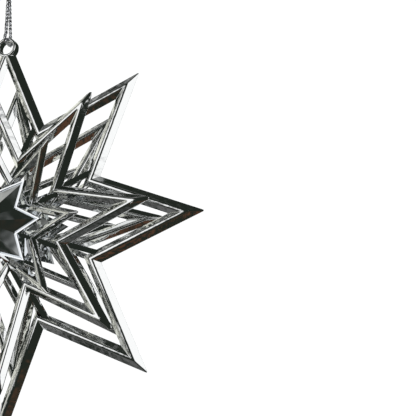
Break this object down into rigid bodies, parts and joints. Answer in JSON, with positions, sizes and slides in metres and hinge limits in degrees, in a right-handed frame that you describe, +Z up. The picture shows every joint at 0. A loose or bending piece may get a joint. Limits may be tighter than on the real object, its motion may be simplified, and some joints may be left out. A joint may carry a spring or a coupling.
{
  "type": "hanging star ornament",
  "caption": "Chrome-finished ornament of nested eight-pointed star frames flaring out on both sides around a faceted star, hung on a twisted cord.",
  "frame": {"origin": "top of the knot, where the cord is held", "axes": "+Z up along the cord; the front of the star faces -Y; +X to the right seen from the front"},
  "size_m": [0.149, 0.0338, 0.1714],
  "materials": {
    "chrome_outer": "polished, vacuum metallised plastic",
    "chrome_middle": "polished, vacuum metallised plastic",
    "chrome_inner": "polished, vacuum metallised plastic",
    "chrome_centre": "polished, vacuum metallised plastic",
    "chrome_ring": "polished, vacuum metallised plastic",
    "silver_cord": "twisted metallic thread"
  },
  "bodies": {
    "knot": {"knot": "silver_cord"},
    "cord": {"cord": "silver_cord"},
    "star": {"outer_frame_front": "chrome_outer", "outer_frame_rear": "chrome_outer", "middle_star_front": "chrome_middle", "middle_star_rear": "chrome_middle", "inner_star_front": "chrome_inner", "inner_star_rear": "chrome_inner", "centre_star_front": "chrome_centre", "centre_star_rear": "chrome_centre", "hanging_ring": "chrome_ring"}
  },
  "joints": [
    {"name": "cord_twist", "type": "hinge", "parent": "knot", "child": "cord", "pos_m": [0, 0, 0], "axis": [0, 0, 1], "continuous": true},
    {"name": "star_swing", "type": "hinge", "parent": "cord", "child": "star", "pos_m": [0, 0, -0.0253], "axis": [0, 1, 0], "range_deg": [-90, 90]}
  ]
}
